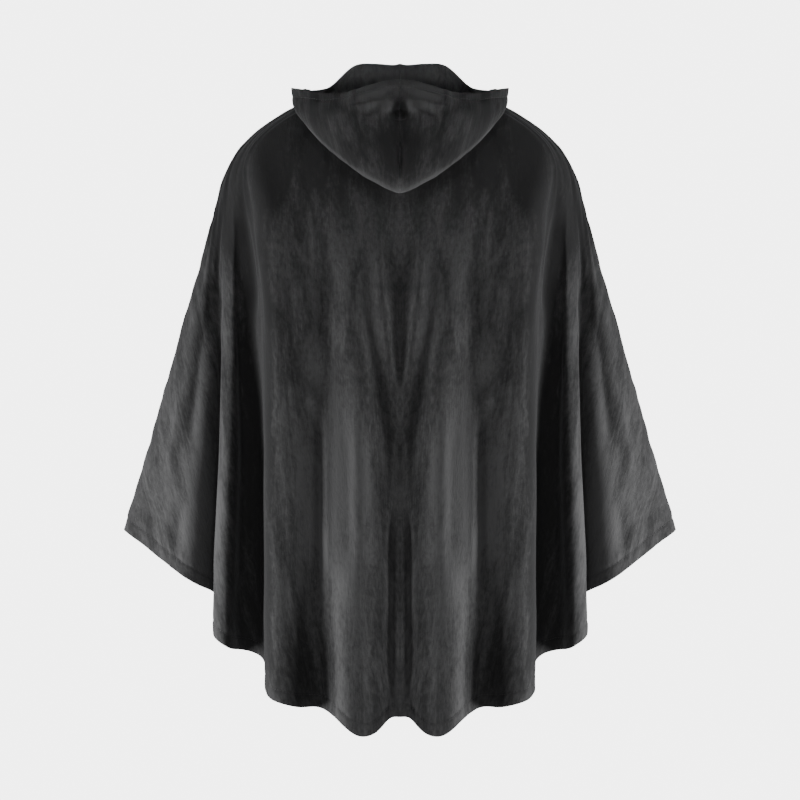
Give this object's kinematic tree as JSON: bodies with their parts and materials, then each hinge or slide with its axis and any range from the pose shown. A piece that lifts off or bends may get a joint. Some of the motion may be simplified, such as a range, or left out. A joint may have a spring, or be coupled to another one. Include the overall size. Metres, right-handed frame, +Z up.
{
  "type": "hooded cloak",
  "caption": "Velvet hooded cloak with batwing sides, filled out as worn, open at the centre front, with the hood lying down on the back.",
  "frame": {"origin": "centre of the neck base, level with the top of the shoulders, where the wearer's neck and shoulders hold the cloak", "axes": "+Z up, +Y towards the back of the garment, +X towards the wearer's left"},
  "size_m": [0.7718, 0.3611, 0.9163],
  "materials": {
    "velvet": "black velvet, short brushed pile",
    "black_metal": "black lacquered wire"
  },
  "bodies": {
    "root": {"back": "velvet", "front_left": "velvet", "front_right": "velvet", "hood_left": "velvet", "hood_right": "velvet", "hook": "black_metal", "eye": "black_metal"}
  },
  "joints": []
}
